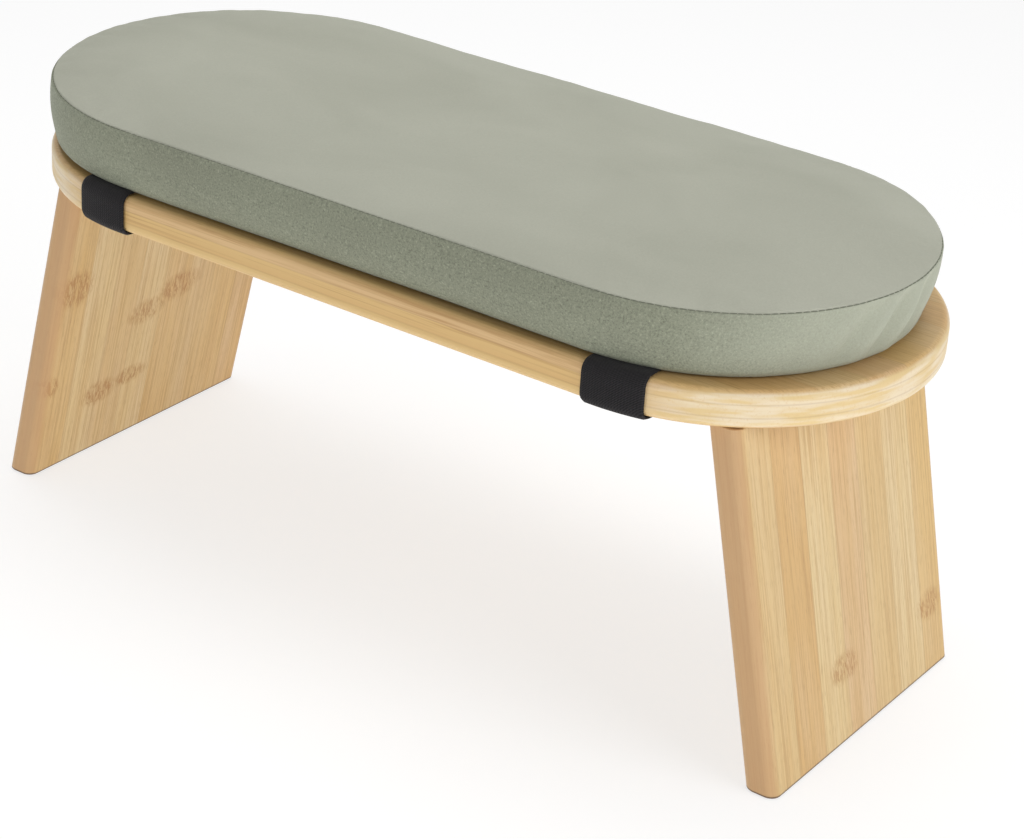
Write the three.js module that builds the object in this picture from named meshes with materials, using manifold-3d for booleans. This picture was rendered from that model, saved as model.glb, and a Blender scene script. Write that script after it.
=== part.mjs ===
// Folding meditation bench: a stadium-shaped bamboo board on two splayed bamboo legs that fold
// flat under it on butt hinges, with a velvet box cushion held on by two elastic straps.
// Millimetres, +Z up. The origin is on the floor, midway between the legs.
import * as THREE from 'three';
import { mergeVertices } from 'three/addons/utils/BufferGeometryUtils.js';
import Module from 'manifold-3d';

const wasm = await Module();
wasm.setup();

// Driving dimensions of the wood
const BOARD = {
  length: 440,
  depth: 190,
  thickness: 17,
  topEdgeRadius: 3.5,
  bottomEdgeRadius: 4.5,
  undersideHeight: 157,
};
const LEG = {
  thickness: 15,
  depth: 152,
  edgeRadius: 5,
  // the outer face meets the underside of the board this far in from its end, and stands this
  // much further out at the floor
  endInset: 38,
  footSpread: 35,
};

// Driving dimensions of the hinges and screws
const HINGE = {
  length: 76,
  leafWidth: 28,
  leafThickness: 1.5,
  leafCornerRadius: 4,
  knuckleRadius: 3.2,
  knuckleCount: 5,
  knuckleGap: 0.3,
  pinRadius: 1.6,
  boreClearance: 0.2,
  notchClearance: 0.5,
  pinProud: 0.6,
  pinEndChamfer: 0.5,
};
const SCREW = {
  length: 12,
  headRadius: 3.5,
  shankRadius: 1.75,
  tipLength: 3,
  crossLength: 4,
  crossWidth: 0.9,
  crossDepth: 1.2,
  // the end screws stand this far from the ends and the free edge of the leaf, and the middle
  // one that much nearer to the pin
  endInset: 11,
  edgeInset: 6.5,
  stagger: 8,
};

// Driving dimensions of the cushion and its straps
const CUSHION = {
  // the top seam lies this far inside the outline of the board, along its sides and at its ends
  sideInset: 1,
  leftInset: 0.5,
  rightInset: 7.5,
  // the band is drawn in towards the board, and its foot leans towards the left end
  bandHeight: 30.7,
  drawIn: 2.4,
  lean: 2,
  bottomRadius: 7,
  bulge: 1.3,
  crown: 5,
  coverThickness: 1,
};
const STRAP = {
  width: 28,
  thickness: 1.5,
  // how far the outer edge of the strap stands from the knuckles of the hinge
  hingeGap: 11.6,
  // length of each end that is sewn in under the cushion
  tuck: 18,
  slackRun: 9,
};

// Gap kept between pieces that touch, and how far a cutter runs past what it cuts
const CLEARANCE = 0.3;
const OVERRUN = 1;

// Counts that set how round the curved faces are
const END_SEGMENTS = 24;
const EDGE_STEPS = 4;
const ROUND_SEGMENTS = 24;
const SCREW_SEGMENTS = 16;
const CUSHION_END_SEGMENTS = 18;
const STRAP_SLICES = 6;

// Crown rings as shares of the way from the seam to the middle line of the cushion
const CROWN_RING_SHARES = [0, 0.03, 0.08, 0.18, 0.38, 0.68, 0.97];
const CROWN_POWER = 4;
const BAND_RING_SHARES = [0, 0.3, 0.6, 0.85, 1];

// Places worked out from the driving dimensions
const splay = Math.atan(LEG.footSpread / BOARD.undersideHeight);
const boardTop = BOARD.undersideHeight + BOARD.thickness;
const legTopHeight = BOARD.undersideHeight - CLEARANCE;
const legSectionX = LEG.thickness / Math.cos(splay);
const legTopOuterX = BOARD.length / 2 - LEG.endInset;
const legTopInnerX = legTopOuterX - legSectionX;
const pinToWood = HINGE.knuckleRadius + CLEARANCE;
const pinHeight = BOARD.undersideHeight - pinToWood;
const pinX = legTopInnerX - pinToWood * (1 - Math.sin(splay)) / Math.cos(splay);
const screwHeadHeight = SCREW.headRadius - SCREW.shankRadius;
const cushionBottom = boardTop + CLEARANCE;
const seamHeight = cushionBottom + CUSHION.bandHeight;
const cushionLength = BOARD.length - CUSHION.leftInset - CUSHION.rightInset;
const cushionDepth = BOARD.depth - 2 * CUSHION.sideInset;
const cushionCentreX = (CUSHION.leftInset - CUSHION.rightInset) / 2;
const strapCentreX = pinX - HINGE.knuckleRadius - STRAP.hingeGap - STRAP.width / 2;

const MATERIALS = {
  board: new THREE.MeshStandardMaterial({ color: 0xd8b88a, roughness: 0.5, metalness: 0 }),
  leg: new THREE.MeshStandardMaterial({ color: 0xd6b98c, roughness: 0.5, metalness: 0 }),
  steel: new THREE.MeshStandardMaterial({ color: 0xb9b7b2, roughness: 0.3, metalness: 1 }),
  velvet: new THREE.MeshStandardMaterial({ color: 0x9da18f, roughness: 0.9, metalness: 0 }),
  lining: new THREE.MeshStandardMaterial({ color: 0x6f7366, roughness: 0.95, metalness: 0 }),
  foam: new THREE.MeshStandardMaterial({ color: 0xe9e2c9, roughness: 1, metalness: 0 }),
  elastic: new THREE.MeshStandardMaterial({ color: 0x1d1d1f, roughness: 0.85, metalness: 0 }),
};

// Manifold solids from three.js geometry, and back
function toSolid(geometry) {
  const bare = geometry.clone();
  bare.deleteAttribute('normal');
  bare.deleteAttribute('uv');
  const merged = mergeVertices(bare);
  return new wasm.Manifold(new wasm.Mesh({
    numProp: 3,
    vertProperties: new Float32Array(merged.attributes.position.array),
    triVerts: new Uint32Array(merged.index.array),
  }));
}

function toGeometry(solid) {
  const mesh = solid.getMesh();
  const geometry = new THREE.BufferGeometry();
  geometry.setAttribute('position', new THREE.BufferAttribute(new Float32Array(mesh.vertProperties), 3));
  geometry.setIndex(new THREE.BufferAttribute(new Uint32Array(mesh.triVerts), 1));
  geometry.computeVertexNormals();
  return geometry;
}

function cut(geometry, cutters) {
  let solid = toSolid(geometry);
  for (const cutter of cutters) solid = solid.subtract(toSolid(cutter));
  return toGeometry(solid);
}

function join(geometries) {
  let solid = toSolid(geometries[0]);
  for (const geometry of geometries.slice(1)) solid = solid.add(toSolid(geometry));
  return toGeometry(solid);
}

// A loft through rings of equally many points. Open rows of rings are closed by a flat cap at
// each end, and a row that comes back to its first ring makes a hoop.
function loft(rings, { hoop = false, capPlane = 'xy' } = {}) {
  const count = rings[0].length;
  const positions = rings.flat().flatMap((p) => [p.x, p.y, p.z]);
  const faces = [];
  const spans = hoop ? rings.length : rings.length - 1;
  for (let r = 0; r < spans; r += 1) {
    const next = (r + 1) % rings.length;
    for (let i = 0; i < count; i += 1) {
      const j = (i + 1) % count;
      const a = r * count + i;
      const b = r * count + j;
      const c = next * count + j;
      const d = next * count + i;
      faces.push(a, b, c, a, c, d);
    }
  }
  if (!hoop) {
    const capOf = (ring) => THREE.ShapeUtils.triangulateShape(
      ring.map((p) => (capPlane === 'xy' ? new THREE.Vector2(p.x, p.y) : new THREE.Vector2(p.y, p.z))),
      [],
    );
    const last = (rings.length - 1) * count;
    for (const [a, b, c] of capOf(rings[0])) faces.push(c, b, a);
    for (const [a, b, c] of capOf(rings[rings.length - 1])) faces.push(last + a, last + b, last + c);
  }
  const geometry = new THREE.BufferGeometry();
  geometry.setAttribute('position', new THREE.Float32BufferAttribute(positions, 3));
  geometry.setIndex(faces);
  return geometry;
}

// Anticlockwise outline of a stadium: two half circles joined by straight sides
function stadiumRing({ length, depth, inset = 0, z, shiftX = 0, segments }) {
  const endCentre = (length - depth) / 2;
  const radius = depth / 2 - inset;
  const points = [];
  for (const side of [1, -1]) {
    const start = side > 0 ? -Math.PI / 2 : Math.PI / 2;
    for (let i = 0; i <= segments; i += 1) {
      const angle = start + Math.PI * (i / segments);
      points.push(new THREE.Vector3(
        shiftX + side * endCentre + radius * Math.cos(angle),
        radius * Math.sin(angle),
        z,
      ));
    }
  }
  return points;
}

// Half the depth of the board at a given place along its length
function boardHalfDepth(x) {
  const radius = BOARD.depth / 2;
  const past = Math.max(0, Math.abs(x) - (BOARD.length / 2 - radius));
  return Math.sqrt(radius * radius - past * past);
}

// Steps of a quarter round, as inset and rise in the unit of its radius
function quarterSteps(steps) {
  return Array.from({ length: steps + 1 }, (_, i) => {
    const angle = (i / steps) * Math.PI / 2;
    return { inset: 1 - Math.sin(angle), rise: 1 - Math.cos(angle) };
  });
}

// Turned solid whose axis runs along +Z from a profile of [radius, height] pairs
function turned(profile, segments) {
  const points = profile.map(([radius, height]) => new THREE.Vector2(radius, height));
  return new THREE.LatheGeometry(points, segments).rotateX(Math.PI / 2);
}

// Screws: a countersunk head flush at height zero, the shank running along +Z
function screwProfile(gap) {
  const tip = SCREW.length + gap;
  return [
    [0, 0],
    [SCREW.headRadius + gap, 0],
    [SCREW.shankRadius + gap, screwHeadHeight],
    [SCREW.shankRadius + gap, SCREW.length - SCREW.tipLength],
    [0, tip],
  ];
}

function screwGeometry() {
  const depth = SCREW.crossDepth + OVERRUN;
  const slots = [[SCREW.crossLength, SCREW.crossWidth], [SCREW.crossWidth, SCREW.crossLength]];
  const cutters = slots.map(([x, y]) => new THREE.BoxGeometry(x, y, depth)
    .translate(0, 0, SCREW.crossDepth - depth / 2));
  return cut(turned(screwProfile(0), SCREW_SEGMENTS), cutters);
}

function screwHole() {
  const mouth = SCREW.headRadius + CLEARANCE;
  const profile = screwProfile(CLEARANCE);
  profile.splice(0, 1, [0, -OVERRUN], [mouth, -OVERRUN]);
  return turned(profile, SCREW_SEGMENTS);
}

// Screw places on a leaf: across from the pin, and along the hinge
function screwPlaces() {
  const end = HINGE.length / 2 - SCREW.endInset;
  const row = HINGE.leafWidth - SCREW.edgeInset;
  return [[row, -end], [row - SCREW.stagger, 0], [row, end]];
}

// Hinge leaf in its own frame: the pin runs along Y at the origin, the leaf lies along +X, and
// its back, at z = knuckleRadius, faces the wood. Knuckles of the two leaves take turns.
function leafGeometry(firstKnuckle) {
  const back = HINGE.knuckleRadius;
  const face = back - HINGE.leafThickness;
  const pitch = HINGE.length / HINGE.knuckleCount;
  const notch = HINGE.knuckleRadius + HINGE.notchClearance;
  const half = HINGE.length / 2;
  const corner = HINGE.leafCornerRadius;
  const outline = new THREE.Shape();
  outline.moveTo(notch, -half);
  outline.lineTo(HINGE.leafWidth - corner, -half);
  outline.absarc(HINGE.leafWidth - corner, -half + corner, corner, -Math.PI / 2, 0);
  outline.lineTo(HINGE.leafWidth, half - corner);
  outline.absarc(HINGE.leafWidth - corner, half - corner, corner, 0, Math.PI / 2);
  outline.lineTo(notch, half);
  outline.closePath();
  const plate = new THREE.ExtrudeGeometry(outline, {
    depth: HINGE.leafThickness,
    bevelEnabled: false,
    curveSegments: EDGE_STEPS,
  }).translate(0, 0, face);

  const pieces = [plate];
  for (let k = firstKnuckle; k < HINGE.knuckleCount; k += 2) {
    const low = -half + k * pitch + (k > 0 ? HINGE.knuckleGap / 2 : 0);
    const high = -half + (k + 1) * pitch - (k < HINGE.knuckleCount - 1 ? HINGE.knuckleGap / 2 : 0);
    const middle = (low + high) / 2;
    const barrel = new THREE.CylinderGeometry(
      HINGE.knuckleRadius,
      HINGE.knuckleRadius,
      high - low,
      ROUND_SEGMENTS,
    ).translate(0, middle, 0);
    const reach = notch + HINGE.notchClearance;
    const tab = new THREE.BoxGeometry(reach, high - low, HINGE.leafThickness)
      .translate(reach / 2, middle, (back + face) / 2);
    pieces.push(barrel, tab);
  }
  const boreRadius = HINGE.pinRadius + HINGE.boreClearance;
  const boreLength = HINGE.length + 2 * OVERRUN;
  const bore = new THREE.CylinderGeometry(boreRadius, boreRadius, boreLength, ROUND_SEGMENTS);
  const holes = screwPlaces().map(([x, y]) => screwHole().translate(x, y, face));
  return cut(join(pieces), [bore, ...holes]);
}

function pinGeometry() {
  const end = HINGE.length / 2 + HINGE.pinProud;
  const flat = HINGE.pinRadius - HINGE.pinEndChamfer;
  const profile = [
    [0, -end],
    [flat, -end],
    [HINGE.pinRadius, -end + HINGE.pinEndChamfer],
    [HINGE.pinRadius, end - HINGE.pinEndChamfer],
    [flat, end],
    [0, end],
  ];
  return turned(profile, ROUND_SEGMENTS).rotateX(Math.PI / 2);
}

// Frames of the two leaves on the right-hand hinge: along +X of each frame lies its leaf, and
// its +Z points into the wood that it is screwed to
function seatLeafMatrix() {
  return new THREE.Matrix4().makeRotationZ(Math.PI)
    .premultiply(new THREE.Matrix4().makeTranslation(pinX, 0, pinHeight));
}

function legLeafMatrix() {
  return new THREE.Matrix4().makeRotationY(Math.PI / 2 - splay)
    .premultiply(new THREE.Matrix4().makeTranslation(pinX, 0, pinHeight));
}

function holesIn(matrix) {
  const face = HINGE.knuckleRadius - HINGE.leafThickness;
  return screwPlaces().map(([x, y]) => screwHole().translate(x, y, face).applyMatrix4(matrix));
}

// Seat board: rounded over at its upper and lower edges, drilled for the hinge screws
function seatBoardGeometry() {
  const base = { length: BOARD.length, depth: BOARD.depth, segments: END_SEGMENTS };
  const lower = quarterSteps(EDGE_STEPS).map(({ inset, rise }) => stadiumRing({
    ...base,
    inset: inset * BOARD.bottomEdgeRadius,
    z: BOARD.undersideHeight + rise * BOARD.bottomEdgeRadius,
  }));
  const upper = quarterSteps(EDGE_STEPS).reverse().map(({ inset, rise }) => stadiumRing({
    ...base,
    inset: inset * BOARD.topEdgeRadius,
    z: boardTop - rise * BOARD.topEdgeRadius,
  }));
  const holes = holesIn(seatLeafMatrix());
  const turnedHoles = holes.map((hole) => hole.clone().rotateZ(Math.PI));
  return cut(loft([...lower, ...upper]), [...holes, ...turnedHoles]);
}

// Leg: a plate with rounded long edges, cut level at the floor and under the board
function legRing(z) {
  const outerX = legTopOuterX + (BOARD.undersideHeight - z) * Math.tan(splay);
  const stretch = 1 / Math.cos(splay);
  const radiusX = LEG.edgeRadius * stretch;
  const halfX = legSectionX / 2;
  const halfY = LEG.depth / 2;
  const points = [];
  for (let corner = 0; corner < 4; corner += 1) {
    const sideX = corner === 0 || corner === 3 ? 1 : -1;
    const sideY = corner < 2 ? 1 : -1;
    for (let i = 0; i <= EDGE_STEPS; i += 1) {
      const angle = (corner + i / EDGE_STEPS) * Math.PI / 2;
      points.push(new THREE.Vector3(
        outerX - halfX + sideX * (halfX - radiusX) + radiusX * Math.cos(angle),
        sideY * (halfY - LEG.edgeRadius) + LEG.edgeRadius * Math.sin(angle),
        z,
      ));
    }
  }
  return points;
}

function legGeometry() {
  return cut(loft([legRing(0), legRing(legTopHeight)]), holesIn(legLeafMatrix()));
}

// Elastic strap: a band that is sewn in under the cushion at the front, runs round the edge of
// the board and under the hinge leaves, and comes up to the cushion again at the back.
// gap grows it all round, which makes the pocket that its ends lie in.
function strapSection(x, gap) {
  const half = boardHalfDepth(x);
  const near = CLEARANCE - gap;
  const far = CLEARANCE + STRAP.thickness + gap;
  const top = { y: half - BOARD.topEdgeRadius, z: boardTop - BOARD.topEdgeRadius };
  const low = { y: half - BOARD.bottomEdgeRadius, z: BOARD.undersideHeight + BOARD.bottomEdgeRadius };
  const drop = HINGE.leafThickness + CLEARANCE;
  const side = (offset) => {
    const path = [new THREE.Vector2(half - STRAP.tuck - gap, boardTop + offset)];
    for (let i = 0; i <= EDGE_STEPS; i += 1) {
      const angle = Math.PI / 2 * (1 - i / EDGE_STEPS);
      const radius = BOARD.topEdgeRadius + offset;
      path.push(new THREE.Vector2(top.y + radius * Math.cos(angle), top.z + radius * Math.sin(angle)));
    }
    for (let i = 0; i <= EDGE_STEPS; i += 1) {
      const angle = -Math.PI / 2 * (i / EDGE_STEPS);
      const radius = BOARD.bottomEdgeRadius + offset;
      path.push(new THREE.Vector2(low.y + radius * Math.cos(angle), low.z + radius * Math.sin(angle)));
    }
    path.push(new THREE.Vector2(low.y - STRAP.slackRun, BOARD.undersideHeight - drop - offset));
    return path;
  };
  const across = (path) => path.map((p) => new THREE.Vector2(-p.x, p.y));
  const outer = side(far);
  const inner = side(near);
  const backOuter = across(outer).reverse();
  const loop = [...outer, ...backOuter, ...across(inner), ...inner.reverse()];
  return loop.map((p) => new THREE.Vector3(x, p.x, p.y)).reverse();
}

function strapGeometry(sign, gap = 0) {
  const width = STRAP.width + 2 * gap;
  const rings = [];
  for (let i = 0; i <= STRAP_SLICES; i += 1) {
    const x = sign * strapCentreX + width * (i / STRAP_SLICES - 0.5);
    rings.push(strapSection(x, gap));
  }
  return loft(rings, { capPlane: 'yz' });
}

// Cushion surface at a depth below the outside of its cover. The seam outline is the widest
// part, the band below it bulges a little, is drawn in towards the board and turns under it.
function cushionRing({ share, inset, z }) {
  const drawn = CUSHION.drawIn * (1 - share);
  const swell = CUSHION.bulge * Math.sin(Math.PI * share);
  return stadiumRing({
    length: cushionLength,
    depth: cushionDepth,
    inset: inset + drawn - swell,
    z,
    shiftX: cushionCentreX - CUSHION.lean * (1 - share),
    segments: CUSHION_END_SEGMENTS,
  });
}

function bandRings(skin) {
  const roundTop = cushionBottom + CUSHION.bottomRadius;
  const rings = quarterSteps(EDGE_STEPS).slice(0, EDGE_STEPS).map(({ inset, rise }) => {
    const radius = CUSHION.bottomRadius - skin;
    return cushionRing({ share: 0, inset: skin + inset * radius, z: cushionBottom + skin + rise * radius });
  });
  for (const share of BAND_RING_SHARES) {
    rings.push(cushionRing({ share, inset: skin, z: roundTop + (seamHeight - roundTop) * share }));
  }
  return rings;
}

function crownRings(skin) {
  const reach = cushionDepth / 2 - skin;
  return CROWN_RING_SHARES.map((share) => cushionRing({
    share: 1,
    inset: skin + share * reach,
    z: seamHeight - skin + CUSHION.crown * (1 - (1 - share) ** CROWN_POWER),
  }));
}

function coverTopGeometry() {
  const outer = crownRings(0);
  const inner = crownRings(CUSHION.coverThickness);
  inner[0].forEach((point) => { point.z = seamHeight; });
  return loft([...inner.reverse(), ...outer]);
}

function coverBandGeometry(pockets) {
  const seamLine = seamHeight - CLEARANCE;
  const lowered = (rings) => {
    rings[rings.length - 1].forEach((point) => { point.z = seamLine; });
    return rings;
  };
  const outer = lowered(bandRings(0));
  const inner = lowered(bandRings(CUSHION.coverThickness)).reverse();
  return cut(loft([...outer, ...inner], { hoop: true }), pockets);
}

function coverBaseGeometry(pockets) {
  const inset = CUSHION.bottomRadius + CLEARANCE;
  const levels = [cushionBottom, cushionBottom + CUSHION.coverThickness];
  return cut(loft(levels.map((z) => cushionRing({ share: 0, inset, z }))), pockets);
}

function foamGeometry(pockets) {
  const skin = CUSHION.coverThickness + CLEARANCE;
  const band = bandRings(skin);
  const crown = crownRings(skin);
  return cut(loft([...band.slice(0, band.length - 1), ...crown]), pockets);
}

// Assembly
const bench = new THREE.Group();

function addPiece(parent, name, geometry, material) {
  const mesh = new THREE.Mesh(geometry, material);
  mesh.name = name;
  parent.add(mesh);
  return mesh;
}

function leafGroup(parent, matrix) {
  const group = new THREE.Group();
  group.applyMatrix4(matrix);
  parent.add(group);
  return group;
}

function addLeg(side, turn) {
  const group = new THREE.Group();
  group.rotation.z = turn;
  bench.add(group);
  addPiece(group, `${side}_leg`, legGeometry(), MATERIALS.leg);
  const face = HINGE.knuckleRadius - HINGE.leafThickness;
  for (const [leaf, matrix, first] of [['seat', seatLeafMatrix(), 0], ['leg', legLeafMatrix(), 1]]) {
    const frame = leafGroup(group, matrix);
    addPiece(frame, `${side}_hinge_${leaf}_leaf`, leafGeometry(first), MATERIALS.steel);
    screwPlaces().forEach(([x, y], index) => {
      const name = `${side}_hinge_${leaf}_screw_${index + 1}`;
      addPiece(frame, name, screwGeometry(), MATERIALS.steel).position.set(x, y, face);
    });
  }
  const pin = addPiece(group, `${side}_hinge_pin`, pinGeometry(), MATERIALS.steel);
  pin.position.set(pinX, 0, pinHeight);
}

addPiece(bench, 'seat_board', seatBoardGeometry(), MATERIALS.board);
addLeg('right', 0);
addLeg('left', Math.PI);

const pockets = [1, -1].map((sign) => strapGeometry(sign, CLEARANCE));
addPiece(bench, 'cushion_foam', foamGeometry(pockets), MATERIALS.foam);
addPiece(bench, 'cushion_cover_top', coverTopGeometry(), MATERIALS.velvet);
addPiece(bench, 'cushion_cover_band', coverBandGeometry(pockets), MATERIALS.velvet);
addPiece(bench, 'cushion_cover_base', coverBaseGeometry(pockets), MATERIALS.lining);
addPiece(bench, 'right_elastic_strap', strapGeometry(1), MATERIALS.elastic);
addPiece(bench, 'left_elastic_strap', strapGeometry(-1), MATERIALS.elastic);

export default bench;
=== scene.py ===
# Looks of a folding meditation bench: bamboo board and legs, steel butt hinges, a velvet box
# cushion and two elastic straps. Metres, +Z up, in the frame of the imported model.
import bisect
import math

import bmesh
import bpy
from mathutils import Matrix, Vector, geometry, noise


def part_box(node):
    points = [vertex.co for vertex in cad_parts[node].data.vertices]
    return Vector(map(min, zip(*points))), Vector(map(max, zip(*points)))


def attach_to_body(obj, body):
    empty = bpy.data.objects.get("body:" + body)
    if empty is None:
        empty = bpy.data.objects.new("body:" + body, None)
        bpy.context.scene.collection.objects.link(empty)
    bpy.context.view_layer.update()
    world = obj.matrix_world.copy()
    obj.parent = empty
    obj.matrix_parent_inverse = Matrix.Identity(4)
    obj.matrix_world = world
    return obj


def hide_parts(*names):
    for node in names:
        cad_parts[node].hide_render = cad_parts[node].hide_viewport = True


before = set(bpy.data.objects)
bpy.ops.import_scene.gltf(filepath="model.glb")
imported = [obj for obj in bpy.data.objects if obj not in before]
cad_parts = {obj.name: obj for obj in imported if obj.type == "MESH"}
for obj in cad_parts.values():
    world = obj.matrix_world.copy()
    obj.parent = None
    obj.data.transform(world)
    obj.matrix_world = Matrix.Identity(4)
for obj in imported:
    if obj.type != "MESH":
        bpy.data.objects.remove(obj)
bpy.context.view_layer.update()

MM = 0.001
QUARTER_TURN = math.pi / 2
FULL_TURN = 2 * math.pi
CORNERS = ((1, 1), (-1, 1), (-1, -1), (1, -1))

# Sizes read from the frame
BOARD_LOW, BOARD_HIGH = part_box("seat_board")
BOARD_LENGTH = BOARD_HIGH.x - BOARD_LOW.x
BOARD_DEPTH = BOARD_HIGH.y - BOARD_LOW.y
UNDERSIDE, BOARD_TOP = BOARD_LOW.z, BOARD_HIGH.z
TOP_LOW, TOP_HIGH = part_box("cushion_cover_top")
BAND_LOW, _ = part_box("cushion_cover_band")
LEG_LOW, LEG_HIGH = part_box("right_leg")
PIN_LOW, PIN_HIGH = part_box("right_hinge_pin")
LEAF_LOW, LEAF_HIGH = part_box("right_hinge_seat_leaf")
SCREW_LOW, SCREW_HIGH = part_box("right_hinge_seat_screw_1")
STRAP_LOW, STRAP_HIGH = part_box("right_elastic_strap")

# Sizes that the frame's boxes don't give
BOARD_TOP_RADIUS = 3.5 * MM
BOARD_BOTTOM_RADIUS = 4.5 * MM
LEG_THICKNESS = 15 * MM
LEG_EDGE_RADIUS = 5 * MM
LEG_CUT_EASE = 0.5 * MM
LEAF_THICKNESS = 1.5 * MM
LEAF_CORNER = 4 * MM
LEAF_BEVEL = 0.15 * MM
KNUCKLES = 5
KNUCKLE_GAP = 0.3 * MM
PIN_CLEARANCE = 0.2 * MM
NOTCH_CLEARANCE = 0.5 * MM
STRAP_THICKNESS = 1.5 * MM
CLEARANCE = 0.3 * MM
CUT_OVERRUN = 1 * MM
SPLAY_ROUNDS = 20


def leg_splay():
    """Angle of the leg's plane from upright, from its box and its thickness."""
    angle = 0.0
    for _ in range(SPLAY_ROUNDS):
        section = LEG_THICKNESS / math.cos(angle)
        angle = math.atan((LEG_HIGH.x - section - LEG_LOW.x) / LEG_HIGH.z)
    return angle


SPLAY = leg_splay()
LEG_HALF_DEPTH = (LEG_HIGH.y - LEG_LOW.y) / 2
PIN_RADIUS = (PIN_HIGH.z - PIN_LOW.z) / 2
PIN_X = (PIN_HIGH.x + PIN_LOW.x) / 2
PIN_Z = (PIN_HIGH.z + PIN_LOW.z) / 2
HINGE_LENGTH = LEAF_HIGH.y - LEAF_LOW.y
KNUCKLE_RADIUS = LEAF_HIGH.x - PIN_X
LEAF_WIDTH = PIN_X - LEAF_LOW.x
LEAF_FACE = KNUCKLE_RADIUS - LEAF_THICKNESS
NOTCH = KNUCKLE_RADIUS + NOTCH_CLEARANCE


# Shader nodes

def is_socket(value):
    return isinstance(value, bpy.types.NodeSocket)


def node(kind, inputs, tree=None, **settings):
    """A shader node in the given tree, or else in the tree of the sockets among its inputs."""
    if tree is None:
        tree = next(value.id_data for value in inputs.values() if is_socket(value))
    made = tree.nodes.new("ShaderNode" + kind)
    for key, value in settings.items():
        setattr(made, key, value)
    for key, value in inputs.items():
        if is_socket(value):
            tree.links.new(value, made.inputs[key])
        else:
            made.inputs[key].default_value = value
    return made


def new_material(name, constants):
    """A material, its Principled shader with constants on its own sockets, and object places."""
    material = bpy.data.materials.new(name)
    material.use_nodes = True
    tree = material.node_tree
    shader = tree.nodes["Principled BSDF"]
    for key, value in constants.items():
        shader.inputs[key].default_value = value
    return material, shader, node("TexCoord", {}, tree).outputs["Object"]


def feed(shader, sockets):
    for key, socket in sockets.items():
        shader.id_data.links.new(socket, shader.inputs[key])


def split_axes(vector):
    parts = node("SeparateXYZ", {"Vector": vector}).outputs
    return parts["X"], parts["Y"], parts["Z"]


def stretched(vector, scale):
    return node("Mapping", {"Vector": vector, "Scale": scale}).outputs["Vector"]


def noise_value(vector, scale=1.0, detail=2.0, roughness=0.5, distortion=0.0):
    return node("TexNoise", {
        "Vector": vector, "Scale": scale, "Detail": detail,
        "Roughness": roughness, "Distortion": distortion,
    }).outputs["Fac"]


def remap(value, low, high, out_low=0.0, out_high=1.0):
    return node("MapRange", {
        "Value": value, "From Min": low, "From Max": high, "To Min": out_low, "To Max": out_high,
    }).outputs["Result"]


def calc(operation, a, b=0.0):
    return node("Math", {0: a, 1: b}, operation=operation).outputs["Value"]


def times(a, b):
    return calc("MULTIPLY", a, b)


def plus(a, b):
    return calc("ADD", a, b)


def off_level(value, level):
    """How far a value is from a level, either way."""
    return calc("ABSOLUTE", calc("SUBTRACT", value, level))


def vector_math(operation, *vectors):
    return node("VectorMath", dict(enumerate(vectors)), operation=operation).outputs


def dot(vector, direction):
    return vector_math("DOT_PRODUCT", vector, direction)["Value"]


def opaque(color):
    return color if is_socket(color) else (*color, 1)


def mix_color(factor, a, b):
    inputs = {0: factor, 6: opaque(a), 7: opaque(b)}
    return node("Mix", inputs, data_type="RGBA").outputs[2]


def color_ramp(factor, stops):
    ramp = node("ValToRGB", {"Fac": factor})
    elements = ramp.color_ramp.elements
    while len(elements) < len(stops):
        elements.new(1.0)
    for element, (place, color) in zip(elements, stops):
        element.position = place
        element.color = opaque(color)
    return ramp.outputs["Color"]


def bump(height, strength, distance):
    return node("Bump", {
        "Height": height, "Strength": strength, "Distance": distance,
    }).outputs["Normal"]


def srgb(red, green, blue):
    """Linear colour of an 8-bit colour."""
    return tuple(
        c / 12.92 if c <= 0.04045 else ((c + 0.055) / 1.055) ** 2.4
        for c in (red / 255, green / 255, blue / 255)
    )


def shade(color, share):
    return tuple(min(1.0, share * c) for c in color)


# Wood materials

PALE = srgb(216, 191, 140)
STRAW = srgb(211, 182, 129)
HONEY = srgb(207, 170, 112)
PINKISH = srgb(210, 176, 127)
GOLD = srgb(211, 178, 118)
CREAM = srgb(223, 207, 178)
EDGE_PINK = srgb(190, 150, 108)
AMBER = srgb(204, 160, 104)
STREAK = srgb(176, 134, 80)
MARK_BROWN = srgb(170, 120, 62)
GLUE_BROWN = srgb(150, 108, 66)
FOOT_LINE = srgb(74, 54, 42)

# Strips of the board and the legs, from front to back
BOARD_STRIPS = [GOLD, HONEY, STRAW, PINKISH, GOLD, STRAW, HONEY, GOLD, STRAW]
RIGHT_STRIPS = [STRAW, HONEY, PALE, PINKISH, STRAW, PALE, GOLD]
LEFT_STRIPS = [GOLD, PALE, STRAW, PALE, GOLD, STRAW, GOLD, HONEY]

# Places in the noise that give each plate a grain of its own
BOARD_SEED, RIGHT_SEED, LEFT_SEED = 3.1, 1.3, 7.9

# Tones up the board's edge, from the lowest ply to the top one
PLY_TONES = [(0.0, STRAW), (0.33, GOLD), (0.345, HONEY), (0.655, GOLD), (0.67, PINKISH)]
PLY_LEVELS = (1 / 3, 2 / 3)

# Node marks: place in metres and reach in millimetres
BOARD_MARKS = [((0.182, -0.052, BOARD_TOP - 8 * MM), (13, 9, 5))]
RIGHT_MARKS = [((0.210, -0.013, 0.032), (10, 13, 8)), ((0.210, 0.061, 0.030), (10, 12, 8))]
LEFT_MARKS = [
    ((-0.179, -0.066, 0.103), (12, 13, 12)), ((-0.184, 0.012, 0.079), (12, 17, 9)),
    ((-0.186, -0.010, 0.072), (12, 15, 8)), ((-0.194, -0.036, 0.034), (12, 14, 8)),
    ((-0.194, -0.014, 0.036), (12, 13, 6)), ((-0.192, -0.072, 0.050), (12, 6, 7)),
]

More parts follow.
